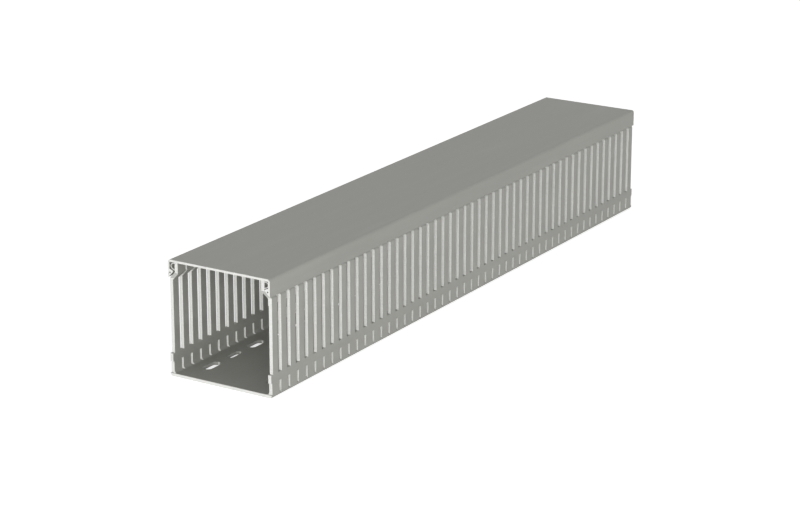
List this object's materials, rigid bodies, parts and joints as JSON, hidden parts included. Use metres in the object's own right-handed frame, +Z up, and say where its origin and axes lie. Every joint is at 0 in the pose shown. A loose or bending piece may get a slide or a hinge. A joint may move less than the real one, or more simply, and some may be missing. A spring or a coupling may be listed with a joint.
{
  "type": "slotted wire duct",
  "caption": "Rigid PVC cable duct: a slotted base with open-topped finger walls and fixing slots in its floor, closed by a clip-on cover.",
  "frame": {"origin": "centre of the bounding box at its bottom: under the middle of the floor", "axes": "+X along the duct's length, +Y across it, +Z up from the floor to the cover; the floor's underside is at z = 0"},
  "size_m": [0.5, 0.08, 0.08],
  "materials": {
    "base_pvc": "matt extruded grey PVC",
    "cover_pvc": "matt extruded grey PVC"
  },
  "bodies": {
    "base": {"duct_base": "base_pvc"},
    "cover": {"cover": "cover_pvc"}
  },
  "joints": [
    {"name": "cover_slide", "type": "slide", "parent": "base", "child": "cover", "axis": [1, 0, 0], "range_m": [-0.505, 0.505]}
  ]
}
